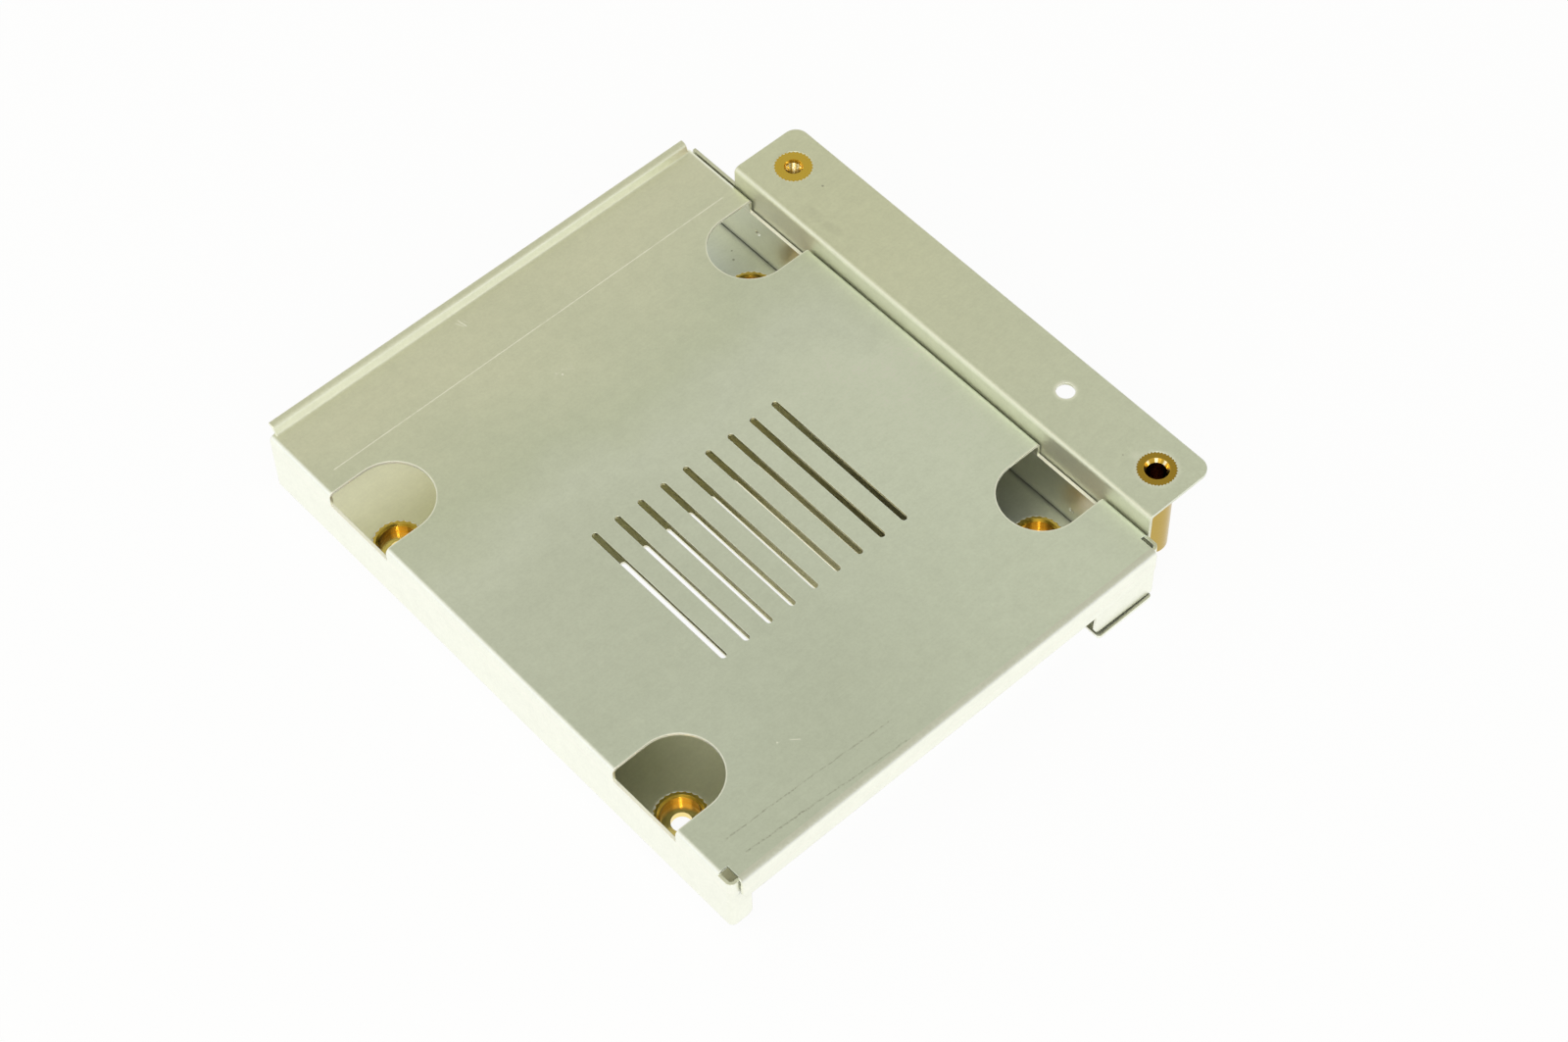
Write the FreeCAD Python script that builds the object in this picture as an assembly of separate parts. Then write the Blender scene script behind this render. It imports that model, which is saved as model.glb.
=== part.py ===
"""Laptop drive caddy: a folded cover on a folded base, with pressed-in bushes and standoffs.

Millimetres. X runs across the caddy towards its mounting flange, Y runs to its open rear end
and Z is up. The origin is the centre of the four bushes, on the plane of their lower ends.
"""
import FreeCAD
import Part
import math
import os

# Sheet stock and its bends
SHEET = 0.5
BEND_INSIDE = 0.45

# Heights
FOOT_HEIGHT = 2.1          # base underside above the lower ends of the bushes
BAY_HEIGHT = 10.9          # clear height inside the box
FLANGE_RISE = 3.5          # top of the mounting flange above the top plate
LIP_DEPTH = 4.6            # front lip, down from the top plate's outer face
CUTOUT_DEPTH = 2.7         # how far each access cut-out goes down the side wall
WEB_DROP = 0.45            # low rear end of the web, below the top plate's outer face
WALL_OVERLAP = 0.1         # left wall over the edge of the base
INNER_FLANGE_HEIGHT = 5.5  # left flange of the base, from the base's inner face
TAB_DROP = 0.6             # corner tabs' upper edges, below the top plate's outer face
RIGHT_TAB_LIFT = 0.75      # end of the right tab's tapered lower edge, above the base

# Plan
COVER_WIDTH = 81.4
FRONT_END = 49.7           # origin to the face of the front lip
REAR_END = 51.8            # origin to the rear edges of the side walls
CORNER_SETBACK = 3.3       # lip face to the rear of the corner notches and the front of the web
BASE_FRONT_SETBACK = 3.15  # lip face to the base's front edge
BASE_REAR_SETBACK = 0.2    # walls' rear edges to the base's rear edge
LIP_LEFT_INSET, LIP_RIGHT_INSET = 1.6, 1.4    # outer faces of the walls to the lip's ends
LIP_CORNER = 1.2
NECK_INSET = 1.75          # outer face of the left wall to the top plate beside its notch
LEFT_TAB_WIDTH, RIGHT_TAB_WIDTH = 3.7, 12.2
TAB_CORNER = 1.0
TONGUE_LEFT_INSET = 0.4    # edge of the right tab to the tongue under it
TONGUE_RIGHT_INSET = 1.1   # outer face of the right wall to the tongue
TONGUE_SETBACK = 0.3       # lip face to the tongue's front edge
TONGUE_CORNER = 0.5
FLANGE_WIDTH = 12.3        # outer face of the web to the flange's outer edge
FLANGE_REAR_SETBACK = 9.95
FLANGE_CORNER = 2.2

# Flared rear lip
REAR_BEND_SETBACK = 0.45   # walls' rear edges to the corner of the lip's lower bend
REAR_FLARE = 0.75
REAR_RISE = 1.6
REAR_HOOK = 0.75

# Clearances
SIDE_GAP = 0.2             # right wall to web
SEAM_GAP = 0.02            # left wall to the base's left flange
TAB_GAP = 0.3              # front lip to the corner tabs behind it
EDGE_GAP = 0.15            # right wall above the base
PRESS_GAP = 0.02           # knurl tips to the hole they are pressed into

# Vent slots, cut through both sheets
SLOT_COUNT = 9
SLOT_PITCH = 4.3
SLOT_WIDTH = 1.05
SLOT_LENGTH = 28.4
SLOT_REAR = 6.9
BASE_SLOT_SHIFT = (0.06, -0.2)   # base's slots against the cover's, in X and Y

# Access cut-outs stand over the bushes
CUTOUT_RADIUS = 6.5

# Bushes
BUSH_INSET = 6.25          # outer face of a side wall to the bush's axis
BUSH_SPACING = 62.5        # along the caddy
BUSH_BODY_RADIUS = 3.7
BUSH_KNURL_RADIUS = 4.05
BUSH_TEETH = 26
BUSH_TOOTH_DEPTH = 0.3
BUSH_TOOTH_BEVEL = 0.14
BUSH_PROUD = 0.3           # collar above the base's inner face
BUSH_COUNTERBORE_RADIUS = 3.12
BUSH_COUNTERBORE_DEPTH = 1.74
BUSH_COUNTERBORE_CHAMFER = 0.32
BUSH_BORE_RADIUS = 1.57
BUSH_FOOT_CHAMFER = 0.25

# Standoffs
STANDOFF_OUT = 6.32        # outer face of the web to the axes
STANDOFF_FRONT_INSET, STANDOFF_REAR_INSET = 5.4, 5.85    # ends of the flange to the axes
STANDOFF_BODY_RADIUS = 2.75
STANDOFF_KNURL_RADIUS = 3.0
STANDOFF_FRONT_TEETH, STANDOFF_REAR_TEETH = 36, 30
STANDOFF_TOOTH_DEPTH = 0.22
STANDOFF_FOOT_CHAMFER = 0.3
CLEAR_BORE_RADIUS = 1.5
COUNTERSINK_RADIUS = 1.9
THREAD_RADIUS = 1.25       # plain wall that the thread is cut into
LEAD_IN_RADIUS = 1.45
MOUTH_BELOW = 0.05         # bevelled mouths end this far below the flange's underside

# Flange hole and weld dimples of the right wall
FLANGE_HOLE_OUT = 6.6      # outer face of the web to the hole's axis
FLANGE_HOLE_STEP = 18.7    # front standoff to the hole, along the flange
FLANGE_HOLE_RADIUS = 1.45
WELDS = ((36.0, 5.3, 0.55), (-32.2, 2.6, 0.5))    # Y, height over the base and radius of each dimple

# Derived positions
BEND_MID = BEND_INSIDE + SHEET / 2
BEND_OUTSIDE = BEND_INSIDE + SHEET
BASE_MID = FOOT_HEIGHT + SHEET / 2
BASE_TOP = FOOT_HEIGHT + SHEET
PLATE_UNDER = BASE_TOP + BAY_HEIGHT
PLATE_MID = PLATE_UNDER + SHEET / 2
PLATE_TOP = PLATE_UNDER + SHEET
FLANGE_TOP = PLATE_TOP + FLANGE_RISE
FLANGE_UNDER = FLANGE_TOP - SHEET
WALL_OUTER = COVER_WIDTH / 2
WALL_MID = WALL_OUTER - SHEET / 2
WALL_INNER = WALL_OUTER - SHEET
LEFT_WALL_LOW = BASE_TOP - WALL_OVERLAP
RIGHT_WALL_LOW = BASE_TOP + EDGE_GAP
RIGHT_TAB_LOW = BASE_TOP + RIGHT_TAB_LIFT
LIP_LEFT = -WALL_OUTER + LIP_LEFT_INSET
LIP_RIGHT = WALL_OUTER - LIP_RIGHT_INSET
LIP_MID = -FRONT_END + SHEET / 2
TAB_MID = LIP_MID + SHEET + TAB_GAP
TAB_TOP = PLATE_TOP - TAB_DROP
LEFT_TAB_EDGE = -WALL_OUTER + LEFT_TAB_WIDTH
RIGHT_TAB_EDGE = WALL_OUTER - RIGHT_TAB_WIDTH
CORNER_Y = -FRONT_END + CORNER_SETBACK
BASE_FRONT = -FRONT_END + BASE_FRONT_SETBACK
TONGUE_FRONT = -FRONT_END + TONGUE_SETBACK
BASE_REAR = REAR_END - BASE_REAR_SETBACK
WEB_INNER = WALL_OUTER + SIDE_GAP
WEB_MID = WEB_INNER + SHEET / 2
WEB_OUTER = WEB_INNER + SHEET
FLANGE_OUTER = WEB_OUTER + FLANGE_WIDTH
FLANGE_REAR = REAR_END - FLANGE_REAR_SETBACK
INNER_FLANGE_MID = WALL_INNER - SEAM_GAP - SHEET / 2
BUSH_X = WALL_OUTER - BUSH_INSET
BUSH_Y = BUSH_SPACING / 2
STANDOFF_X = WEB_OUTER + STANDOFF_OUT
STANDOFF_FRONT_Y = CORNER_Y + STANDOFF_FRONT_INSET
STANDOFF_REAR_Y = FLANGE_REAR - STANDOFF_REAR_INSET
PAST = 5.0                 # how far cutters run past what they cut

ACROSS = FreeCAD.Vector(1, 0, 0)
ALONG = FreeCAD.Vector(0, 1, 0)
UP = FreeCAD.Vector(0, 0, 1)


def left_of(direction):
    """Direction turned a quarter to the left in its drawing plane."""
    return FreeCAD.Vector(-direction.y, direction.x, 0)


def sheet_side(points, shift):
    """Lines and arcs of one face of a bent sheet, as point lists, at a shift from its mid-line."""
    first = (points[1] - points[0]).normalize()
    here = points[0] + left_of(first) * shift
    curves = []
    for before, corner, after in zip(points, points[1:], points[2:]):
        into = (corner - before).normalize()
        out = (after - corner).normalize()
        half_turn = into.getAngle(out) / 2
        inward = (out - into).normalize()
        centre = corner + inward * (BEND_MID / math.cos(half_turn))
        turns_left = left_of(into).dot(out) > 0
        radius = BEND_MID - shift if turns_left else BEND_MID + shift
        set_back = BEND_MID * math.tan(half_turn)
        start = corner - into * set_back + left_of(into) * shift
        end = corner + out * set_back + left_of(out) * shift
        curves.append((here, start))
        curves.append((start, centre - inward * radius, end))
        here = end
    last = (points[-1] - points[-2]).normalize()
    curves.append((here, points[-1] + left_of(last) * shift))
    return curves


def bent_sheet(mid_line, u_axis, v_axis, low, high):
    """Sheet bent along a mid-line in the u, v plane, between two stations on the third axis."""
    w_axis = FreeCAD.Vector(1, 1, 1) - u_axis - v_axis
    points = [FreeCAD.Vector(u, v, 0) for u, v in mid_line]
    one_side = sheet_side(points, SHEET / 2)
    other_side = sheet_side(points, -SHEET / 2)
    ends = [(one_side[0][0], other_side[0][0]), (one_side[-1][-1], other_side[-1][-1])]
    edges = []
    for curve in one_side + other_side + ends:
        placed = [u_axis * p.x + v_axis * p.y + w_axis * low for p in curve]
        shape = Part.Arc(*placed) if len(placed) == 3 else Part.LineSegment(*placed)
        edges.append(shape.toShape())
    outline = Part.Wire(Part.__sortEdges__(edges))
    return Part.Face(outline).extrude(w_axis * (high - low))


def block(x_low, x_high, y_low, y_high, z_low, z_high):
    """Plain block between two corners."""
    corner = FreeCAD.Vector(x_low, y_low, z_low)
    return Part.makeBox(x_high - x_low, y_high - y_low, z_high - z_low, corner)


def obround(start, end, radius, z_low, z_high):
    """Upright cutter with round ends, whose end centres are two points in plan."""
    a = FreeCAD.Vector(*start, z_low)
    b = FreeCAD.Vector(*end, z_low)
    ahead = (b - a).normalize() * radius
    aside = left_of(ahead)
    edges = [
        Part.LineSegment(a + aside, b + aside).toShape(),
        Part.Arc(b + aside, b + ahead, b - aside).toShape(),
        Part.LineSegment(b - aside, a - aside).toShape(),
        Part.Arc(a - aside, a - ahead, a + aside).toShape(),
    ]
    return Part.Face(Part.Wire(edges)).extrude(UP * (z_high - z_low))


def flat_face(corners):
    """Flat face with the given corners."""
    return Part.Face(Part.makePolygon(list(corners) + [corners[0]]))


def hole(x, y, radius):
    """Upright round cutter that goes through every sheet."""
    return Part.makeCylinder(radius, FLANGE_TOP + PAST, FreeCAD.Vector(x, y, 0))


def round_corners(solid, radius, places, axis):
    """Round the sheet corners whose short edges run along the axis through the places."""
    def chosen(edge):
        middle = edge.CenterOfMass
        flat = middle - axis * middle.dot(axis)
        return edge.Length < 2 * SHEET and any((flat - place).Length < SHEET / 2 for place in places)

    return solid.makeFillet(radius, [edge for edge in solid.Edges if chosen(edge)])


def vent_slots(shift_x, shift_y):
    """Cutters of the row of vent slots, shifted in plan and tall enough for both sheets."""
    radius = SLOT_WIDTH / 2
    rear = shift_y + SLOT_REAR - radius
    front = shift_y + SLOT_REAR - SLOT_LENGTH + radius
    middle = (SLOT_COUNT - 1) / 2
    stations = [shift_x + (index - middle) * SLOT_PITCH for index in range(SLOT_COUNT)]
    return [obround((x, rear), (x, front), radius, 0, PLATE_TOP + PAST) for x in stations]


def bush_places():
    """Name and plan position of each bush."""
    sides = (("left", -BUSH_X), ("right", BUSH_X))
    ends = (("front", -BUSH_Y), ("rear", BUSH_Y))
    return {f"bush_{end}_{side}": (x, y) for end, y in ends for side, x in sides}


def front_tab(side, edge, low):
    """Square-cornered tab that wraps from a side wall to behind the front lip."""
    mid_line = [(side * WALL_MID, CORNER_Y), (side * WALL_MID, TAB_MID), (edge, TAB_MID)]
    return bent_sheet(mid_line, ACROSS, ALONG, low, TAB_TOP)


def corner_tabs():
    """Both corner tabs with their rounded corners, the right one tapered along its lower edge."""
    left = front_tab(-1, LEFT_TAB_EDGE, LEFT_WALL_LOW)
    right = front_tab(1, RIGHT_TAB_EDGE, RIGHT_WALL_LOW)
    bend_start = WALL_OUTER - BEND_OUTSIDE
    outline = [(bend_start, RIGHT_WALL_LOW), (RIGHT_TAB_EDGE, RIGHT_WALL_LOW),
               (RIGHT_TAB_EDGE, RIGHT_TAB_LOW)]
    taper = flat_face([FreeCAD.Vector(x, -FRONT_END, z) for x, z in outline])
    right = right.cut(taper.extrude(ALONG * CORNER_SETBACK))
    return [round_corners(left, TAB_CORNER, [ACROSS * LEFT_TAB_EDGE + UP * LEFT_WALL_LOW], ALONG),
            round_corners(right, TAB_CORNER, [ACROSS * RIGHT_TAB_EDGE + UP * RIGHT_TAB_LOW], ALONG)]


def front_lip():
    """Front lip with the neck of the top plate that carries it."""
    low = PLATE_TOP - LIP_DEPTH
    mid_line = [(CORNER_Y, PLATE_MID), (LIP_MID, PLATE_MID), (LIP_MID, low)]
    lip = bent_sheet(mid_line, ALONG, UP, LIP_LEFT, LIP_RIGHT)
    lip = round_corners(lip, LIP_CORNER, [ACROSS * x + UP * low for x in (LIP_LEFT, LIP_RIGHT)], ALONG)
    bend_start = -FRONT_END + BEND_OUTSIDE
    neck_left = -WALL_OUTER + NECK_INSET
    notch = block(LIP_LEFT - PAST, neck_left, bend_start, CORNER_Y, PLATE_UNDER, PLATE_TOP)
    return lip.cut(notch)


def rear_lip():
    """Stiffening lip of the rear edge: flared up, then hooked outwards."""
    top = PLATE_MID + REAR_RISE
    corner = REAR_END - REAR_BEND_SETBACK
    outer = corner + REAR_FLARE
    mid_line = [(REAR_END - PAST, PLATE_MID), (corner, PLATE_MID),
                (outer, top), (outer + REAR_HOOK, top)]
    half = WALL_OUTER - BEND_OUTSIDE
    return bent_sheet(mid_line, ALONG, UP, -half, half)


def weld_dimples(cover):
    """Press each weld dimple through the right wall until its far side meets the web."""
    for y, height, radius in WELDS:
        inner = FreeCAD.Vector(WALL_INNER, y, BASE_TOP + height)
        bump = Part.makeCone(radius + SIDE_GAP, radius, SHEET + SIDE_GAP, inner, ACROSS)
        dent = Part.makeCone(radius, radius - SIDE_GAP, SIDE_GAP, inner, ACROSS)
        cover = cover.fuse(bump).cut(dent)
    return cover


def top_cover():
    """Top plate, side walls, lips and corner tabs of one folded sheet."""
    mid_line = [(-WALL_MID, LEFT_WALL_LOW), (-WALL_MID, PLATE_MID),
                (WALL_MID, PLATE_MID), (WALL_MID, RIGHT_WALL_LOW)]
    cover = bent_sheet(mid_line, ACROSS, UP, CORNER_Y, REAR_END)
    half = WALL_OUTER - BEND_OUTSIDE
    trim = block(-half, half, REAR_END - PAST, REAR_END + PAST, PLATE_UNDER, PLATE_TOP)
    cover = cover.cut(trim)
    cover = cover.fuse([rear_lip(), front_lip()] + corner_tabs())
    cover = weld_dimples(cover)
    cutters = vent_slots(0, 0)
    for x, y in bush_places().values():
        outside = math.copysign(WALL_OUTER + CUTOUT_RADIUS + PAST, x)
        cutters.append(obround((x, y), (outside, y), CUTOUT_RADIUS, PLATE_TOP - CUTOUT_DEPTH,
                               PLATE_TOP + PAST))
    return cover.cut(cutters).removeSplitter()


def base_front():
    """Front edge of the base's bottom, with the tongue under the right corner tab."""
    left = -WALL_INNER + BEND_OUTSIDE
    tongue_left = RIGHT_TAB_EDGE + TONGUE_LEFT_INSET
    tongue_right = WALL_OUTER - TONGUE_RIGHT_INSET
    outline = [(left, CORNER_Y), (left, BASE_FRONT), (tongue_left, BASE_FRONT),
               (tongue_left, TONGUE_FRONT), (tongue_right, TONGUE_FRONT), (tongue_right, CORNER_Y)]
    front = flat_face([FreeCAD.Vector(x, y, FOOT_HEIGHT) for x, y in outline]).extrude(UP * SHEET)
    tips = [ACROSS * x + ALONG * TONGUE_FRONT for x in (tongue_left, tongue_right)]
    return round_corners(front, TONGUE_CORNER, tips, UP)


def base_plate():
    """Bottom plate, left flange, web and mounting flange of one folded sheet."""
    flange_mid = FLANGE_TOP - SHEET / 2
    mid_line = [(-INNER_FLANGE_MID, BASE_TOP + INNER_FLANGE_HEIGHT), (-INNER_FLANGE_MID, BASE_MID),
                (WEB_MID, BASE_MID), (WEB_MID, flange_mid), (FLANGE_OUTER, flange_mid)]
    base = bent_sheet(mid_line, ACROSS, UP, CORNER_Y, BASE_REAR)
    base = base.cut(block(WALL_OUTER, FLANGE_OUTER + PAST, FLANGE_REAR, BASE_REAR + PAST,
                          PLATE_TOP - WEB_DROP, FLANGE_TOP + PAST))
    outer_corners = [ACROSS * FLANGE_OUTER + ALONG * y for y in (CORNER_Y, FLANGE_REAR)]
    base = round_corners(base, FLANGE_CORNER, outer_corners, UP)
    cutters = vent_slots(*BASE_SLOT_SHIFT)
    for x, y in bush_places().values():
        cutters.append(hole(x, y, BUSH_KNURL_RADIUS + PRESS_GAP))
    for y in (STANDOFF_FRONT_Y, STANDOFF_REAR_Y):
        cutters.append(hole(STANDOFF_X, y, STANDOFF_KNURL_RADIUS + PRESS_GAP))
    cutters.append(hole(WEB_OUTER + FLANGE_HOLE_OUT, STANDOFF_FRONT_Y + FLANGE_HOLE_STEP,
                        FLANGE_HOLE_RADIUS))
    return base.fuse(base_front()).cut(cutters).removeSplitter()


def turned(profile, x, y):
    """Solid turned from a closed profile of radius and height pairs, about an upright axis."""
    outline = flat_face([FreeCAD.Vector(radius, 0, z) for radius, z in profile])
    solid = outline.revolve(FreeCAD.Vector(0, 0, 0), UP, 360)
    solid.translate(FreeCAD.Vector(x, y, 0))
    return solid


def toothed_ring(x, y, z, root, tip, teeth):
    """Corners of a straight knurl at one height, tips and roots in turn."""
    ring = []
    for index in range(2 * teeth):
        radius = root if index % 2 else tip
        angle = index * math.pi / teeth
        ring.append(FreeCAD.Vector(x + radius * math.cos(angle), y + radius * math.sin(angle), z))
    return ring


def bevelled_knurl(x, y, z_low, z_high):
    """Straight-knurled collar of a bush, its teeth bevelled at the upper end."""
    tip = BUSH_KNURL_RADIUS
    root = tip - BUSH_TOOTH_DEPTH
    lower = toothed_ring(x, y, z_low, root, tip, BUSH_TEETH)
    upper = toothed_ring(x, y, z_high - BUSH_TOOTH_BEVEL, root, tip, BUSH_TEETH)
    bevel = toothed_ring(x, y, z_high, root, tip - BUSH_TOOTH_BEVEL, BUSH_TEETH)
    faces = [flat_face(lower), flat_face(bevel)]
    for index in range(2 * BUSH_TEETH):
        last = index - 1
        faces.append(flat_face([lower[last], lower[index], upper[index], upper[last]]))
        faces.append(flat_face([upper[last], upper[index], bevel[index]]))
        faces.append(flat_face([upper[last], bevel[index], bevel[last]]))
    return Part.Solid(Part.Shell(faces))


def bush(x, y):
    """Counterbored bush whose collar is pressed into the base."""
    top = BASE_TOP + BUSH_PROUD
    floor = top - BUSH_COUNTERBORE_DEPTH
    body = turned([(0, 0), (BUSH_BODY_RADIUS - BUSH_FOOT_CHAMFER, 0),
                   (BUSH_BODY_RADIUS, BUSH_FOOT_CHAMFER), (BUSH_BODY_RADIUS, top), (0, top)], x, y)
    collar = bevelled_knurl(x, y, FOOT_HEIGHT, top)
    mouth = BUSH_COUNTERBORE_RADIUS + BUSH_COUNTERBORE_CHAMFER
    hollow = turned([(0, 0), (BUSH_BORE_RADIUS, 0), (BUSH_BORE_RADIUS, floor),
                     (BUSH_COUNTERBORE_RADIUS, floor),
                     (BUSH_COUNTERBORE_RADIUS, top - BUSH_COUNTERBORE_CHAMFER),
                     (mouth, top), (0, top)], x, y)
    return body.fuse(collar).cut(hollow)


def standoff(y, teeth, bore, mouth):
    """Standoff pressed into the mounting flange, with a through bore and a bevelled mouth."""
    top = FLANGE_TOP
    body = turned([(0, 0), (STANDOFF_BODY_RADIUS - STANDOFF_FOOT_CHAMFER, 0),
                   (STANDOFF_BODY_RADIUS, STANDOFF_FOOT_CHAMFER),
                   (STANDOFF_BODY_RADIUS, top), (0, top)], STANDOFF_X, y)
    root = STANDOFF_KNURL_RADIUS - STANDOFF_TOOTH_DEPTH
    ring = toothed_ring(STANDOFF_X, y, FLANGE_UNDER, root, STANDOFF_KNURL_RADIUS, teeth)
    head = flat_face(ring).extrude(UP * SHEET)
    mouth_floor = FLANGE_UNDER - MOUTH_BELOW
    hollow = turned([(0, 0), (bore, 0), (bore, mouth_floor), (mouth, top), (0, top)], STANDOFF_X, y)
    return body.fuse(head).cut(hollow)


def main():
    """Build every node and write it to the parts folder."""
    nodes = {"top_cover": top_cover(), "base_plate": base_plate()}
    for name, (x, y) in bush_places().items():
        nodes[name] = bush(x, y)
    nodes["standoff_front"] = standoff(STANDOFF_FRONT_Y, STANDOFF_FRONT_TEETH, CLEAR_BORE_RADIUS,
                                       COUNTERSINK_RADIUS)
    nodes["standoff_rear"] = standoff(STANDOFF_REAR_Y, STANDOFF_REAR_TEETH, THREAD_RADIUS,
                                      LEAD_IN_RADIUS)
    os.makedirs("parts", exist_ok=True)
    for name, shape in nodes.items():
        shape.exportStep(f"parts/{name}.step")


main()
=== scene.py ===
"""Looks of the laptop drive caddy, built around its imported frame."""
import math

import bpy
from mathutils import Matrix, Vector


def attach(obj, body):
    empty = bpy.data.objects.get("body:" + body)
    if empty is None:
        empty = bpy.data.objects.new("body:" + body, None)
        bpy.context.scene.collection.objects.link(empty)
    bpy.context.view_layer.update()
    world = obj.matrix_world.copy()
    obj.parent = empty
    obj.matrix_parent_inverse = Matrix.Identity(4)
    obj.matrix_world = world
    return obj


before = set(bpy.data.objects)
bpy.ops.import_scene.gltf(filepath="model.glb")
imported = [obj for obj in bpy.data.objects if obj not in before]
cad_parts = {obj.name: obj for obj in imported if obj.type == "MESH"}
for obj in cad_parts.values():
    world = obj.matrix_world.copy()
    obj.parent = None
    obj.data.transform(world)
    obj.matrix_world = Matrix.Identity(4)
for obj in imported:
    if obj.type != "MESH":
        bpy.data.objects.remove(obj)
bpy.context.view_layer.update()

MM = 0.001

# The photograph's camera, in the row frame
EYE = Vector((-186.33, -229.93, 428.88)) * MM
AZIMUTH, ELEVATION, ROLL = (math.radians(angle) for angle in (-40.893, 54.945, -1.485))
LENS, SENSOR = 81.77, 36.0

# Positions that the looks follow, in millimetres. WEB_SIDE lies between the right wall and the web.
BASE_TOP = 2.6
PLATE_TOP = 14.0
FLANGE_TOP = 17.5
WEB_SIDE = 40.75
SLOT_AREA = (20.0, 25.0)
BUSH_CENTRE = (34.45, 31.25)
BUSH_ROOT, BUSH_TIP, BUSH_HOLE = 3.75, 4.05, 4.07
BUSH_TEETH = 26
BURR_RISE = 0.27
CUTOUT_RADIUS, CUTOUT_SILL = 6.5, 11.3
FLANGE_HOLE = (48.0, -22.3)
FLANGE_HOLE_RADIUS = 1.45
STANDOFF_FRONT = (47.72, -41.0)
STANDOFF_REAR = (47.72, 36.0)
STANDOFF_ROOT, STANDOFF_TIP, STANDOFF_HOLE = 2.78, 3.0, 3.02
STANDOFF_FRONT_TEETH, STANDOFF_REAR_TEETH = 36, 30
GLINT_ANGLE = math.radians(47.0)

# Thread of the rear standoff, in millimetres
THREAD_OUTER, THREAD_INNER = 1.249, 1.08
THREAD_PITCH = 0.45
THREAD_LOW, THREAD_HIGH = 0.4, 16.95
THREAD_STEPS = 24

# Plating tones of the flange along Y; tones of the top plate along Y, which are painted reflection; and
# tones of the inside along X, which are painted shade and reflection; places in millimetres
PLATE_REFLECTION_TONES = (
    (-30.0, (0.83, 0.89, 0.82)),
    (5.0, (0.87, 0.92, 0.85)),
    (13.0, (0.90, 0.95, 0.88)),
    (24.0, (0.83, 0.88, 0.76)),
    (46.0, (0.94, 0.95, 0.80)),
)
FLANGE_TONES = (
    (-40.0, (0.88, 0.93, 0.83)),
    (20.0, (0.90, 0.92, 0.75)),
)
INNER_SHADE_TONES = (
    (-25.0, (0.94, 0.93, 0.76)),
    (8.0, (0.96, 0.92, 0.66)),
    (21.0, (0.74, 0.67, 0.38)),
    (34.0, (0.80, 0.83, 0.83)),
    (40.0, (0.88, 0.90, 0.79)),
)
WEB_TONE = (0.78, 0.79, 0.65)
# The outer walls' tone, paler than the top plate's, is painted light.
LIT_WALL_TONE = (0.97, 0.985, 0.86)
BEND_TONE = (0.90, 0.92, 0.87)
SLOT_WALL_TONE = (0.70, 0.67, 0.46)
TONE_LOW, TONE_HIGH = -50.0, 50.0

# Places where the steel's tone changes over from one to the next, in millimetres
COVER_TOP_FADE = (13.0, 13.9)
FLANGE_TOP_FADE = (17.3, 17.45)
WEB_TOP_FADE = (17.4, 16.6)
LEFT_WALL_FADE = (-39.9, -40.2)
FRONT_FADE = (-48.4, -48.6)
UNDERSIDE_FADE = (2.3, 2.2)
BEND_FADE = (13.4, 13.7)

# Width of the cut-out rims' painted highlight, radius of worn edges that also carry painted highlight, and
# reach of the painted shade at the inner joints, in millimetres
RIM_HIGHLIGHT_WIDTH, RIM_DEPTH = 0.24, 0.65
EDGE_RADIUS = 0.16
JOINT_SHADE_REACH = 1.6

# Colours of bare metal and painted highlights, of dark marks, and of the painted shade at joints
BARE_AND_HIGHLIGHT_TONE = (1.0, 0.985, 0.89)
SMUDGE_TONE = (0.30, 0.29, 0.24)
SPECK_TONE = (0.24, 0.22, 0.18)
JOINT_SHADE_TONE = (0.24, 0.25, 0.27)

# Strokes on the top plate and the flange: start, end and half width in millimetres, then strength
SCRATCHES = (
    ((-37.3, 40.8), (37.6, 41.0), 0.12, 0.75),
    ((-7.6, 49.7), (-7.0, 48.4), 0.10, 0.7),
    ((-7.0, 49.9), (-6.7, 48.2), 0.12, 0.9),
    ((-6.4, 49.3), (-6.2, 48.6), 0.10, 0.6),
    ((-3.4, 31.9), (-2.3, 32.3), 0.12, 0.3),
    ((-1.5, 32.3), (-0.2, 31.5), 0.12, 0.3),
    ((23.6, 0.4), (27.1, 1.0), 0.07, 0.5),
    ((-20.3, 33.4), (-16.8, 34.4), 0.07, 0.3),
    ((-19.6, -37.45), (-18.5, -38.35), 0.10, 0.7),
)
SMUDGES = (
    ((-36.3, -43.2), (-24.0, -43.6), 0.17, 0.6),
    ((-24.0, -43.6), (-7.3, -44.5), 0.16, 0.5),
    ((-35.6, -46.5), (-25.0, -47.15), 0.20, 0.75),
    ((-25.0, -47.15), (-7.4, -48.4), 0.18, 0.5),
)

FLANGE_SCUFFS = (
    ((43.6, 28.2), (43.6, 26.0), 1.3, 0.8),
    ((43.6, 24.0), (43.9, 22.0), 1.2, 0.7),
)

# Round marks: place and radius in millimetres, then strength
BRIGHT_DOTS = (
    ((-2.04, 31.64, PLATE_TOP), 0.22, 1.0),
    ((-2.64, 32.43, PLATE_TOP), 0.18, 0.7),
    ((-1.48, 32.45, PLATE_TOP), 0.15, 0.5),
    ((-0.02, 31.89, PLATE_TOP), 0.15, 0.5),
    ((-0.20, 31.26, PLATE_TOP), 0.14, 0.4),
    ((-21.20, -36.63, PLATE_TOP), 0.18, 0.9),
    ((47.20, -37.30, FLANGE_TOP), 1.10, 0.22),
)
DARK_DOTS = (
    ((48.36, 30.14, FLANGE_TOP), 0.26, 0.8),
    ((45.90, -36.00, FLANGE_TOP), 0.20, 0.5),
    ((37.72, 39.46, 2.6), 0.22, 0.8),
    ((36.73, 37.94, 2.6), 0.28, 0.9),
    ((-24.78, 51.71, 14.3), 0.35, 0.6),
)

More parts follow.
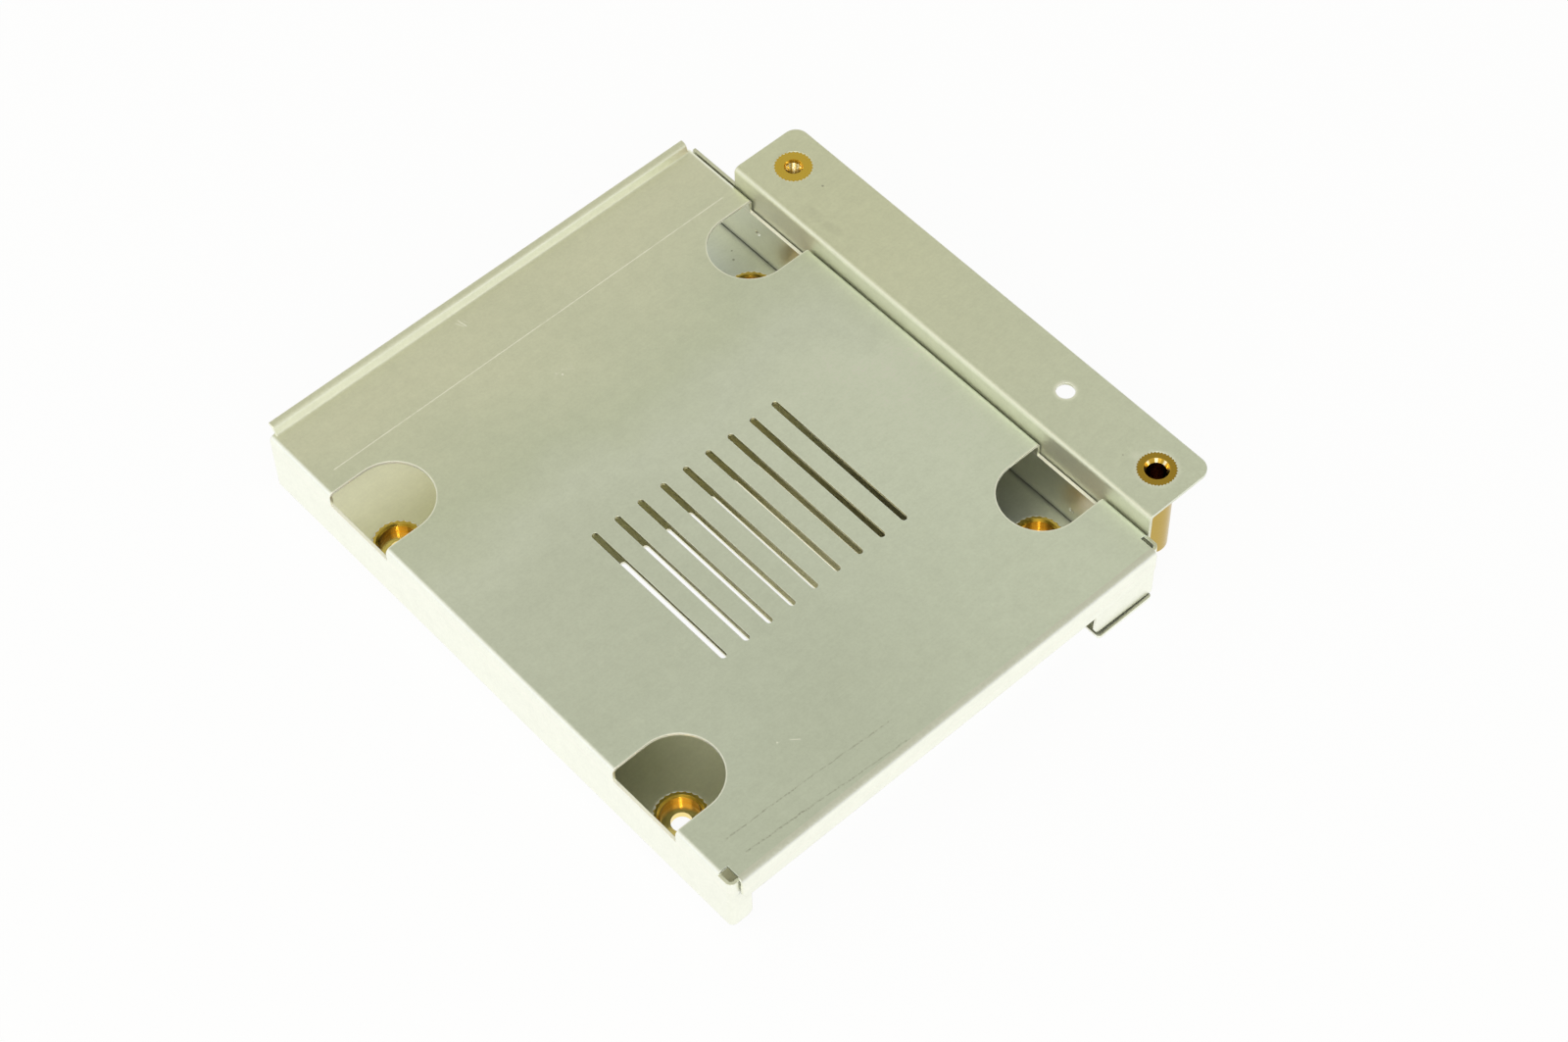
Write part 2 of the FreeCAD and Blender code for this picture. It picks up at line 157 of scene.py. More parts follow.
# Floor and lamps, in metres and watts: name, place, size and power of each lamp
FLOOR_HALF, FLOOR_LEVEL = 6.0, -0.05 * MM
LAMPS = (
    ("key", (-0.55, -0.50, 0.75), 1.0, 4.0),
    ("fill", (-0.70, 0.45, 0.50), 0.8, 0.7),
    ("spark", (-0.22, -0.25, 0.52), 0.05, 0.15),
)

# Brass tones by radius and height ranges, in millimetres: some tarnish, with painted shade darkening the
# counterbore walls and the standoffs' bores, and painted light brightening the counterbore floor and the
# bush bore
BUSH_ZONES = (
    ((3.40, 4.10), (2.50, 3.00), (0.80, 0.58, 0.14)),
    ((1.60, 3.05), (1.14, 1.30), (1.00, 0.80, 0.30)),
    ((3.05, 3.16), (1.20, 2.57), (0.48, 0.26, 0.03)),
    ((0.00, 1.60), (-0.10, 1.14), (0.97, 0.78, 0.30)),
)
STANDOFF_ZONES = (
    ((2.60, 3.10), (-0.10, 17.00), (0.52, 0.37, 0.09)),
    ((1.95, 3.10), (17.40, 17.60), (0.53, 0.34, 0.05)),
    ((0.00, 1.52), (-0.10, 16.94), (0.28, 0.13, 0.04)),
    ((1.52, 1.95), (16.90, 17.49), (0.62, 0.38, 0.05)),
)
THREADED_ZONES = (
    ((2.60, 3.10), (-0.10, 17.00), (0.52, 0.37, 0.09)),
    ((1.26, 3.10), (16.90, 17.60), (0.87, 0.60, 0.10)),
    ((0.00, 1.26), (-0.10, 16.96), (0.65, 0.47, 0.16)),
)


class Graph:
    """A shader tree that is filled by short calls, each giving the new node's output."""

    def __init__(self, tree):
        self.tree = tree
        tree.nodes.clear()

    def node(self, kind, **settings):
        """Add a node and set its plain properties."""
        node = self.tree.nodes.new(kind)
        for name, value in settings.items():
            setattr(node, name, value)
        return node

    def feed(self, socket, value):
        """Link a socket to another node's output, or set its value."""
        if isinstance(value, bpy.types.NodeSocket):
            self.tree.links.new(value, socket)
        else:
            socket.default_value = value

    def math(self, operation, first, second=0.0, clamp=False):
        """One step of arithmetic."""
        node = self.node("ShaderNodeMath", operation=operation, use_clamp=clamp)
        self.feed(node.inputs[0], first)
        self.feed(node.inputs[1], second)
        return node.outputs[0]

    def vector(self, operation, first, second=(0, 0, 0), output="Vector"):
        """One step of vector arithmetic."""
        node = self.node("ShaderNodeVectorMath", operation=operation)
        self.feed(node.inputs[0], first)
        self.feed(node.inputs[1], second)
        return node.outputs[output]

    def remap(self, value, low, high, to_low=0.0, to_high=1.0, smooth=False):
        """Value moved from one range to another, held at both ends."""
        node = self.node("ShaderNodeMapRange", interpolation_type="SMOOTHSTEP" if smooth else "LINEAR")
        for socket, setting in zip(node.inputs, (value, low, high, to_low, to_high)):
            self.feed(socket, setting)
        return node.outputs[0]

    def noise(self, vector, scale, detail=2.0, roughness=0.5):
        """Cloudy value from 0 to 1."""
        node = self.node("ShaderNodeTexNoise")
        self.feed(node.inputs["Vector"], vector)
        self.feed(node.inputs["Scale"], scale)
        self.feed(node.inputs["Detail"], detail)
        self.feed(node.inputs["Roughness"], roughness)
        return node.outputs["Fac"]

    def mix(self, factor, first, second):
        """Two colours mixed."""
        node = self.node("ShaderNodeMix", data_type="RGBA")
        colours = [socket for socket in node.inputs if socket.type == "RGBA"]
        self.feed(node.inputs["Factor"], factor)
        self.feed(colours[0], first)
        self.feed(colours[1], second)
        return next(socket for socket in node.outputs if socket.type == "RGBA")

    def brighten(self, colour, value):
        """Colour times a plain value."""
        node = self.node("ShaderNodeVectorMath", operation="SCALE")
        self.feed(node.inputs[0], colour)
        self.feed(node.inputs["Scale"], value)
        return node.outputs[0]

    def ramp(self, value, stops):
        """Colour picked from a row of stops, each a position from 0 to 1 and a colour."""
        node = self.node("ShaderNodeValToRGB")
        elements = node.color_ramp.elements
        elements[0].position, elements[0].color = stops[0]
        elements[1].position, elements[1].color = stops[-1]
        for position, shade in stops[1:-1]:
            elements.new(position).color = shade
        self.feed(node.inputs[0], value)
        return node.outputs["Color"]

    def split(self, vector):
        """The X, Y and Z outputs of a vector."""
        node = self.node("ShaderNodeSeparateXYZ")
        self.feed(node.inputs[0], vector)
        return node.outputs

    def join(self, x=0.0, y=0.0, z=0.0):
        """Vector made of three values."""
        node = self.node("ShaderNodeCombineXYZ")
        for socket, value in zip(node.inputs, (x, y, z)):
            self.feed(socket, value)
        return node.outputs[0]

    def bump(self, height, distance, strength=1.0, normal=None):
        """Normal tilted by a height."""
        node = self.node("ShaderNodeBump")
        self.feed(node.inputs["Height"], height)
        self.feed(node.inputs["Distance"], distance)
        self.feed(node.inputs["Strength"], strength)
        if normal is not None:
            self.feed(node.inputs["Normal"], normal)
        return node.outputs["Normal"]


def colour(red, green, blue):
    """Opaque colour."""
    return (red, green, blue, 1.0)


def new_material(name):
    """Empty material with its graph and its surface shader."""
    material = bpy.data.materials.new(name)
    material.use_nodes = True
    graph = Graph(material.node_tree)
    shader = graph.node("ShaderNodeBsdfPrincipled")
    output = graph.node("ShaderNodeOutputMaterial")
    graph.feed(output.inputs["Surface"], shader.outputs[0])
    return material, graph, shader


def millimetres(graph):
    """Position on the object in millimetres of the row frame."""
    place = graph.node("ShaderNodeTexCoord").outputs["Object"]
    return graph.brighten(place, 1 / MM)


def edges_worn_and_highlit(graph, radius):
    """Rounded normal near edges, and a mask that is 1 on the edges."""
    rounded = graph.node("ShaderNodeBevel", samples=6)
    graph.feed(rounded.inputs["Radius"], radius * MM)
    true_normal = graph.node("ShaderNodeNewGeometry").outputs["Normal"]
    along = graph.vector("DOT_PRODUCT", rounded.outputs[0], true_normal, output="Value")
    return rounded.outputs[0], graph.remap(along, 0.99, 0.80, smooth=True)


def at_height(graph, height, level):
    """1 on faces that lie at a level."""
    flat = graph.math("COMPARE", height, level)
    flat.node.inputs[2].default_value = 0.1
    return flat


def cutout_rim_highlight(graph, flat_place, width):
    """Mask of the painted highlight on the rolled-in rim round the access cut-outs, 1 at the cut."""
    across = graph.vector("SUBTRACT", graph.vector("ABSOLUTE", flat_place), (*BUSH_CENTRE, 0))
    inward = graph.vector("MINIMUM", across, (0.0, 1000.0, 1000.0))
    away = graph.vector("LENGTH", inward, output="Value")
    return graph.remap(away, CUTOUT_RADIUS + width, CUTOUT_RADIUS + 0.3 * width, smooth=True)


def halo(graph, flat_place, centre, inner, outer):
    """Mask of a soft ring round a hole, 1 at its edge."""
    away = graph.vector("DISTANCE", flat_place, (*centre, 0), output="Value")
    return graph.remap(away, outer, inner, smooth=True)


def stroke(graph, place, start, end, half_width):
    """Mask of a straight stroke in plan, 1 on its line."""
    start, end = Vector((*start, 0)), Vector((*end, 0))
    reach = end - start
    from_start = graph.vector("SUBTRACT", place, start)
    share = graph.vector("DOT_PRODUCT", from_start, reach / reach.length_squared, output="Value")
    held = graph.math("ADD", share, 0.0, clamp=True)
    nearest = graph.brighten(reach, held)
    gap = graph.vector("DISTANCE", from_start, nearest, output="Value")
    return graph.remap(gap, half_width, 0.3 * half_width, smooth=True)


def strokes(graph, place, table, breakup):
    """Strongest of several strokes, broken up by a noise."""
    total = 0.0
    for start, end, half_width, strength in table:
        mask = graph.math("MULTIPLY", stroke(graph, place, start, end, half_width), strength)
        total = graph.math("MAXIMUM", mask, total)
    return graph.math("MULTIPLY", total, breakup)


def dots(graph, place, table):
    """Strongest of several round marks."""
    total = 0.0
    for centre, radius, strength in table:
        away = graph.vector("DISTANCE", place, centre, output="Value")
        mask = graph.math("MULTIPLY", graph.remap(away, radius, 0.3 * radius, smooth=True), strength)
        total = graph.math("MAXIMUM", mask, total)
    return total


def specks(graph, place, spacing, radius, kept):
    """Small round specks, of which only a share is kept."""
    cells = graph.node("ShaderNodeTexVoronoi", voronoi_dimensions="3D")
    graph.feed(cells.inputs["Vector"], place)
    graph.feed(cells.inputs["Scale"], 1 / spacing)
    near = graph.remap(cells.outputs["Distance"], radius / spacing, 0.4 * radius / spacing, smooth=True)
    chosen = graph.math("LESS_THAN", cells.outputs["Color"], kept)
    return graph.math("MULTIPLY", near, chosen)


def joint_shade(graph, reach):
    """Mask of painted shade at the joints, from ambient occlusion, 1 deep inside them."""
    shade = graph.node("ShaderNodeAmbientOcclusion", samples=6)
    graph.feed(shade.inputs["Distance"], reach * MM)
    return graph.remap(shade.outputs["AO"], 0.85, 0.45, smooth=True)


def tone_along(graph, value, table):
    """Colour that follows a table of tones along one axis."""
    stops = [((place - TONE_LOW) / (TONE_HIGH - TONE_LOW), colour(*shade)) for place, shade in table]
    return graph.ramp(graph.remap(value, TONE_LOW, TONE_HIGH), stops)


def slot_walls(graph, place):
    """1 on the cut walls of the cover's vent slots."""
    x, y, z = graph.split(graph.vector("ABSOLUTE", place))
    facing = graph.node("ShaderNodeNewGeometry").outputs["True Normal"]
    upright = graph.math("LESS_THAN", graph.split(graph.vector("ABSOLUTE", facing))["Z"], 0.5)
    in_cover = graph.math("GREATER_THAN", z, BASE_TOP + 1.0)
    in_area = graph.math("MULTIPLY", graph.math("LESS_THAN", x, SLOT_AREA[0]),
                         graph.math("LESS_THAN", y, SLOT_AREA[1]))
    return graph.math("MULTIPLY", graph.math("MULTIPLY", upright, in_cover), in_area)


def steel_tone(graph, place, cloud):
    """Steel colour: cooler on the top plate with painted reflection, warmer inside with painted shade and
    reflection, palest on the outer walls as painted light.
    """
    x, y, z = graph.split(place)
    wavy = graph.math("ADD", y, graph.remap(cloud, 0.3, 0.7, -5.0, 5.0))
    # The top plate's tones along Y and its lighter front right are painted reflection.
    plate = tone_along(graph, wavy, PLATE_REFLECTION_TONES)
    to_right = graph.remap(x, -10.0, 30.0, 0.985, 1.10)
    to_front = graph.remap(wavy, 12.0, 4.0, smooth=True)
    painted_reflection_lift = graph.math("ADD", graph.math("MULTIPLY", graph.math("SUBTRACT", to_right, 1.0), to_front), 1.0)
    plate = graph.brighten(plate, painted_reflection_lift)
    on_cover = graph.math("MULTIPLY", graph.remap(z, *COVER_TOP_FADE, smooth=True),
                          graph.math("LESS_THAN", x, WEB_SIDE))
    past_gap = graph.math("GREATER_THAN", x, WEB_SIDE)
    # The inside's tones along X are painted shade and reflection.
    inner = graph.mix(past_gap, tone_along(graph, x, INNER_SHADE_TONES), colour(*WEB_TONE))
    tone = graph.mix(on_cover, inner, plate)
    on_flange = graph.remap(z, *FLANGE_TOP_FADE, smooth=True)
    tone = graph.mix(on_flange, tone, tone_along(graph, wavy, FLANGE_TONES))
    # The outer walls are painted paler as painted light; the underside takes the same pale tone.
    outside = graph.math("MAXIMUM", graph.remap(x, *LEFT_WALL_FADE), graph.remap(y, *FRONT_FADE))
    outside = graph.math("MAXIMUM", outside, graph.remap(z, *UNDERSIDE_FADE))
    folded = graph.remap(z, *BEND_FADE, smooth=True)
    outer = graph.mix(folded, colour(*LIT_WALL_TONE), colour(*BEND_TONE))
    tone = graph.mix(outside, tone, outer)
    return graph.mix(slot_walls(graph, place), tone, colour(*SLOT_WALL_TONE))


def handling_marks(graph, place, mottle):
    """Masks of the bright scratches, the plate's smudges, the flange's scuffs and the dark specks."""
    flat_place = graph.vector("MULTIPLY", place, (1, 1, 0))
    height = graph.split(place)["Z"]
    on_plate = at_height(graph, height, PLATE_TOP)
    on_flange = at_height(graph, height, FLANGE_TOP)
    breakup = graph.remap(graph.noise(place, 1.4, 3.0), 0.30, 0.55, 0.45, 1.0)
    scratch = graph.math("MULTIPLY", strokes(graph, flat_place, SCRATCHES, breakup), on_plate)
    scratch = graph.math("MAXIMUM", scratch, dots(graph, place, BRIGHT_DOTS))
    dotted = graph.remap(graph.noise(place, 2.2, 3.0, 0.7), 0.42, 0.62, 0.12, 1.0)
    sway = graph.math("MULTIPLY", graph.math("SUBTRACT", graph.noise(place, 0.6, 2.0), 0.5), 0.5)
    wavy_place = graph.vector("ADD", flat_place, graph.join(0.0, sway, 0.0))
    smudge = graph.math("MULTIPLY", strokes(graph, wavy_place, SMUDGES, dotted), on_plate)
    patchy = graph.remap(mottle, 0.3, 0.7)
    scuff = graph.math("MULTIPLY", strokes(graph, flat_place, FLANGE_SCUFFS, patchy), on_flange)
    dark = graph.math("MAXIMUM", specks(graph, place, 9.0, 0.16, 0.12), dots(graph, place, DARK_DOTS))
    return scratch, smudge, scuff, dark


def bare_metal_and_highlights(graph, place, edge, scratch):
    """Mask of bright metal: real scratches, rings round holes and worn open edges, with painted highlights
    on the cut rims, sills, burrs and, in part, the open edges.
    """
    flat_place = graph.vector("MULTIPLY", place, (1, 1, 0))
    height = graph.split(place)["Z"]
    left_of_web = graph.math("LESS_THAN", graph.split(place)["X"], WEB_SIDE)
    in_cover = graph.math("MULTIPLY", graph.math("GREATER_THAN", height, PLATE_TOP - RIM_DEPTH), left_of_web)
    # The cut-out rims are painted white as a painted highlight.
    rim = graph.math("MULTIPLY", cutout_rim_highlight(graph, flat_place, RIM_HIGHLIGHT_WIDTH), in_cover)
    ring = halo(graph, flat_place, FLANGE_HOLE, FLANGE_HOLE_RADIUS + 0.15, FLANGE_HOLE_RADIUS + 0.6)
    pressed = halo(graph, flat_place, STANDOFF_FRONT, STANDOFF_TIP + 0.2, STANDOFF_TIP + 0.7)
    ring = graph.math("ADD", ring, graph.math("MULTIPLY", pressed, 0.35))
    ring = graph.math("MULTIPLY", ring, at_height(graph, height, FLANGE_TOP))
    # The wall's cut top edge in the cut-outs is painted white as a painted highlight.
    sill_highlight = graph.math("MULTIPLY", at_height(graph, height, CUTOUT_SILL), left_of_web)
    # The burrs round the bush teeth are painted white as a painted glint.
    burr_glint = halo(graph, graph.vector("ABSOLUTE", flat_place), BUSH_CENTRE, BUSH_HOLE, BUSH_HOLE + 0.15)
    burr_glint = graph.math("MULTIPLY", burr_glint, graph.math("LESS_THAN", height, BASE_TOP + BURR_RISE))
    # Open edges are painted lighter, partly as worn plating and partly as painted highlight.
    worn_and_highlit_edge = graph.math("MULTIPLY", edge, graph.math("SUBTRACT", 1.0, slot_walls(graph, place)))
    total = scratch
    for mask, strength in ((rim, 0.7), (ring, 0.45), (sill_highlight, 1.0), (burr_glint, 1.0), (worn_and_highlit_edge, 0.28)):
        total = graph.math("MAXIMUM", total, graph.math("MULTIPLY", mask, strength))
    return total


def plated_steel():
    """Zinc-plated sheet: mottled, faintly rolled, with worn bright edges and its handling marks, and with
    painted reflection, painted light, painted highlights and painted shade in its colour.
    """
    material, graph, shader = new_material("plated_steel")
    place = millimetres(graph)
    height = graph.split(place)["Z"]
    on_web = graph.math("MULTIPLY", graph.math("GREATER_THAN", graph.split(place)["X"], WEB_SIDE),
                        graph.remap(height, *WEB_TOP_FADE))
    normal, edge = edges_worn_and_highlit(graph, EDGE_RADIUS)
    cloud = graph.noise(place, 0.05, 3.0)
    mottle = graph.noise(place, 0.45, 4.0, 0.6)
    grain = graph.noise(place, 2.6, 3.0, 0.6)
    rolled = graph.noise(graph.vector("MULTIPLY", place, (0.25, 3.2, 1.0)), 0.9, 3.0)
    scratch, smudge, scuff, dark = handling_marks(graph, place, mottle)
    bare_and_highlight = bare_metal_and_highlights(graph, place, edge, scratch)
    # Painted shade at the low inside joints, kept off the web.
    low_inside = graph.math("MULTIPLY", graph.math("LESS_THAN", height, CUTOUT_SILL - 1.0),
                            graph.math("SUBTRACT", 1.0, on_web))
    joint_shade_mask = graph.math("MULTIPLY", joint_shade(graph, JOINT_SHADE_REACH), low_inside)

    tone = steel_tone(graph, place, cloud)
    tone = graph.brighten(tone, graph.remap(grain, 0.25, 0.75, 0.96, 1.035))
    tone = graph.brighten(tone, graph.remap(rolled, 0.25, 0.75, 0.985, 1.012))
    tone = graph.brighten(tone, graph.remap(mottle, 0.3, 0.7, 0.975, 1.02))
    layers = ((bare_and_highlight, 1.0, BARE_AND_HIGHLIGHT_TONE), (smudge, 0.75, SMUDGE_TONE), (scuff, 0.25, SMUDGE_TONE),
              (dark, 0.7, SPECK_TONE), (joint_shade_mask, 0.6, JOINT_SHADE_TONE))
    for mask, strength, shade in layers:
        tone = graph.mix(graph.math("MULTIPLY", mask, strength), tone, colour(*shade))
    graph.feed(shader.inputs["Base Color"], tone)

    dull = graph.math("MAXIMUM", graph.math("MULTIPLY", bare_and_highlight, 0.75), graph.math("MULTIPLY", on_web, 0.06))
    graph.feed(shader.inputs["Metallic"], graph.math("SUBTRACT", 1.0, dull))
    rough = graph.remap(grain, 0.2, 0.8, 0.30, 0.40)
    rough = graph.math("ADD", rough, graph.remap(cloud, 0.3, 0.7, -0.03, 0.03))
    graph.feed(shader.inputs["Roughness"], graph.math("ADD", rough, graph.math("MULTIPLY", on_web, 0.2)))
    relief = graph.math("ADD", graph.math("MULTIPLY", grain, 0.6), graph.math("MULTIPLY", rolled, 0.4))
    relief = graph.math("SUBTRACT", relief, scratch)
    graph.feed(shader.inputs["Normal"], graph.bump(relief, 0.006 * MM, 1.0, normal))
    return material


def in_zone(graph, radius, height, reach, levels):
    """1 where a radius and a height both lie in their ranges."""
    total = 1.0
    for value, (low, high) in ((radius, reach), (height, levels)):
        above = graph.math("GREATER_THAN", value, low)
        below = graph.math("LESS_THAN", value, high)
        total = graph.math("MULTIPLY", graph.math("MULTIPLY", above, below), total)
    return total


def painted_glint_streaks(graph, local, count, wobble):
    """Painted glints: bright lines up the wall of a hole, spread round its axis, as a value from 0 to 1."""
    x, y, z = graph.split(local)
    angle = graph.math("ARCTAN2", y, x)
    sway = graph.math("MULTIPLY", graph.math("SINE", graph.math("MULTIPLY", z, 9.0)), wobble)
    phase = math.pi / 2 - count * GLINT_ANGLE
    turned = graph.math("ADD", graph.math("MULTIPLY", angle, count), graph.math("ADD", sway, phase))
    return graph.remap(graph.math("SINE", turned), 0.1, 0.9, smooth=True)


def turned_brass(name, centre, zones, glints, ring_depth):
    """Bright brass with turning rings about its upright axis.

    Each part of a mirrored pattern finds its own axis, because the centre takes the place's signs.
    Glints are painted highlight lines in one range of radius and height, given with their count and their
    wobble.
    """
    material, graph, shader = new_material(name)
    place = millimetres(graph)
    axis = graph.vector("MULTIPLY", graph.vector("SIGN", place), (abs(centre[0]), abs(centre[1]), 0))
    local = graph.vector("SUBTRACT", place, axis)
    flat = graph.vector("MULTIPLY", local, (1, 1, 0))
    radius = graph.vector("LENGTH", flat, output="Value")
    height = graph.split(place)["Z"]

    rings = graph.noise(graph.join(radius, 0.0, height), 9.0, 3.0, 0.6)
    stain = graph.noise(place, 0.8, 3.0)
    fine = graph.noise(place, 14.0, 2.0)

    tone = graph.mix(graph.remap(stain, 0.35, 0.7), colour(0.86, 0.57, 0.095), colour(0.78, 0.47, 0.055))
    # The zones paint tarnish together with painted shade and painted light.
    for reach, levels, shade in zones:
        tone = graph.mix(in_zone(graph, radius, height, reach, levels), tone, colour(*shade))
    if glints:
        reach, levels, count, wobble = glints
        # The glints are painted highlight in a pale gold.
        lit = graph.math("MULTIPLY", painted_glint_streaks(graph, local, count, wobble),
                         in_zone(graph, radius, height, reach, levels))
        tone = graph.mix(graph.math("MULTIPLY", lit, 0.8), tone, colour(1.0, 0.93, 0.66))
    tone = graph.brighten(tone, graph.remap(rings, 0.3, 0.7, 1 - 0.16 * ring_depth, 1 + 0.08 * ring_depth))
    tone = graph.brighten(tone, graph.remap(fine, 0.3, 0.7, 0.96, 1.03))
    graph.feed(shader.inputs["Base Color"], tone)
    graph.feed(shader.inputs["Metallic"], 1.0)
    rough = graph.remap(rings, 0.3, 0.7, 0.12, 0.20)
    rough = graph.math("ADD", rough, graph.remap(fine, 0.3, 0.7, -0.03, 0.03))
    graph.feed(shader.inputs["Roughness"], rough)
    graph.feed(shader.inputs["Anisotropic"], 0.65)
    outward = graph.brighten(graph.vector("NORMALIZE", flat), 0.6)
    graph.feed(shader.inputs["Tangent"], graph.vector("ADD", outward, (0, 0, 1)))
    graph.feed(shader.inputs["Normal"], graph.bump(rings, 0.012 * ring_depth * MM))
    return material


def thread_mesh():
    """Helical ridge of the internal thread, tapering out at both ends."""
    turns = (THREAD_HIGH - THREAD_LOW) / THREAD_PITCH
    stations = int(turns * THREAD_STEPS)
    half_root, half_crest = 0.44 * THREAD_PITCH, 0.07 * THREAD_PITCH
    points = []
    for index in range(stations + 1):
        angle = 2 * math.pi * index / THREAD_STEPS
        middle = THREAD_LOW + (THREAD_HIGH - THREAD_LOW) * index / stations
        from_end = min(index, stations - index) / THREAD_STEPS
        depth = min(1.0, 0.05 + 2 * from_end)
        crest = THREAD_OUTER - (THREAD_OUTER - THREAD_INNER) * depth
        for reach, rise in ((THREAD_OUTER, -half_root * depth), (crest, -half_crest * depth),
                            (crest, half_crest * depth), (THREAD_OUTER, half_root * depth)):
            points.append((STANDOFF_REAR[0] + reach * math.cos(angle),
                           STANDOFF_REAR[1] + reach * math.sin(angle), middle + rise))
    faces = []
    for index in range(stations):
        here, ahead = 4 * index, 4 * index + 4
        for corner in range(4):
            after = (corner + 1) % 4
            faces.append((here + corner, here + after, ahead + after, ahead + corner))
    faces.append((3, 2, 1, 0))
    faces.append(tuple(4 * stations + corner for corner in range(4)))
    mesh = bpy.data.meshes.new("standoff_thread")
    mesh.from_pydata([Vector(point) * MM for point in points], [], faces)
    mesh.validate()
    return mesh


def add_thread(material):
    """Thread piece in the rear standoff."""
    thread = bpy.data.objects.new("standoff_thread", thread_mesh())
    bpy.context.scene.collection.objects.link(thread)
    thread.data.materials.append(material)
    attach(thread, "root")


def pressed_ring_mesh(name, centre, profile, hole, level, rise):
    """Ring of sheet metal that the teeth were pressed into, pushed up by a rise at their roots."""
    root, tip, teeth = profile
    count = 2 * teeth
    points = []
    for upper in (False, True):
        for index in range(count):
            angle = math.pi * index / teeth
            inner = root if index % 2 else tip
            for reach in (inner + 0.004, hole - 0.002):
                pushed = rise * (hole - reach) / (hole - root)
                points.append((centre[0] + reach * math.cos(angle), centre[1] + reach * math.sin(angle),
                               level + pushed if upper else level - 0.4))
    faces = []
    for index in range(count):
        inner, outer = 2 * index, 2 * index + 1
        next_inner, next_outer = 2 * ((index + 1) % count), 2 * ((index + 1) % count) + 1
        above = 2 * count
        faces.append((inner, next_inner, next_outer, outer))
        faces.append((above + inner, above + outer, above + next_outer, above + next_inner))
        faces.append((inner, above + inner, above + next_inner, next_inner))
        faces.append((outer, next_outer, above + next_outer, above + outer))
    mesh = bpy.data.meshes.new(name)
    mesh.from_pydata([Vector(point) * MM for point in points], [], faces)
    mesh.validate()
    return mesh


def add_pressed_ring(name, centre, profile, hole, level, rise, material):
    """One ring of pressed-in sheet metal."""
    ring = bpy.data.objects.new(name, pressed_ring_mesh(name, centre, profile, hole, level, rise))
    bpy.context.scene.collection.objects.link(ring)
    ring.data.materials.append(material)
    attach(ring, "root")


def add_pressed_rings(material):
    """Rings round the knurls of all bushes and standoffs."""
    for end, y in (("front", -BUSH_CENTRE[1]), ("rear", BUSH_CENTRE[1])):
        for side, x in (("left", -BUSH_CENTRE[0]), ("right", BUSH_CENTRE[0])):
            add_pressed_ring(f"pressed_ring_{end}_{side}", (x, y), (BUSH_ROOT, BUSH_TIP, BUSH_TEETH),
                             BUSH_HOLE, BASE_TOP, BURR_RISE, material)
    for end, centre, teeth in (("front", STANDOFF_FRONT, STANDOFF_FRONT_TEETH),
                               ("rear", STANDOFF_REAR, STANDOFF_REAR_TEETH)):
        add_pressed_ring(f"pressed_ring_standoff_{end}", centre, (STANDOFF_ROOT, STANDOFF_TIP, teeth),
                         STANDOFF_HOLE, FLANGE_TOP - 0.02, 0.0, material)


def dress(nodes):
    """Give every CAD node its material."""
    steel = plated_steel()
    bush = turned_brass("bush_brass", BUSH_CENTRE, BUSH_ZONES, None, 1.0)
    front = turned_brass("front_standoff_brass", STANDOFF_FRONT, STANDOFF_ZONES,
                         ((1.49, 1.89), (16.90, 17.49), 8, 0.0), 0.35)
    rear = turned_brass("rear_standoff_brass", STANDOFF_REAR, THREADED_ZONES,
                        ((0.00, 1.30), (-0.10, 17.20), 11, 0.8), 0.35)
    chosen = {"top_cover": steel, "base_plate": steel, "standoff_front": front, "standoff_rear": rear}
    for name, piece in nodes.items():
        piece.data.materials.clear()
        piece.data.materials.append(chosen.get(name, bush))
    add_thread(rear)
    add_pressed_rings(steel)


def backdrop_share(graph):
    """How far the backdrop shows as plain white: fully in mirrors and glass, mostly to the camera."""
    rays = graph.node("ShaderNodeLightPath").outputs
    to_camera = graph.math("MULTIPLY", rays["Is Camera Ray"], 0.94)
    mirrored = graph.math("MAXIMUM", rays["Is Glossy Ray"], rays["Is Transmission Ray"])
    return graph.math("MAXIMUM", to_camera, mirrored)


def add_floor():
    """Plain white floor that keeps a soft shadow."""
    mesh = bpy.data.meshes.new("floor")
    signs = ((-1, -1), (1, -1), (1, 1), (-1, 1))
    corners = [(x * FLOOR_HALF, y * FLOOR_HALF, FLOOR_LEVEL) for x, y in signs]
    mesh.from_pydata(corners, [], [(0, 1, 2, 3)])
    floor = bpy.data.objects.new("floor", mesh)
    bpy.context.scene.collection.objects.link(floor)
    material = bpy.data.materials.new("floor_white")
    material.use_nodes = True
    graph = Graph(material.node_tree)
    paper = graph.node("ShaderNodeBsdfDiffuse")
    paper.inputs["Color"].default_value = colour(0.93, 0.93, 0.93)
    glow = graph.node("ShaderNodeEmission")
    blend = graph.node("ShaderNodeMixShader")
    output = graph.node("ShaderNodeOutputMaterial")
    graph.feed(blend.inputs[0], backdrop_share(graph))
    graph.feed(blend.inputs[1], paper.outputs[0])
    graph.feed(blend.inputs[2], glow.outputs[0])
    graph.feed(output.inputs["Surface"], blend.outputs[0])
    floor.data.materials.append(material)


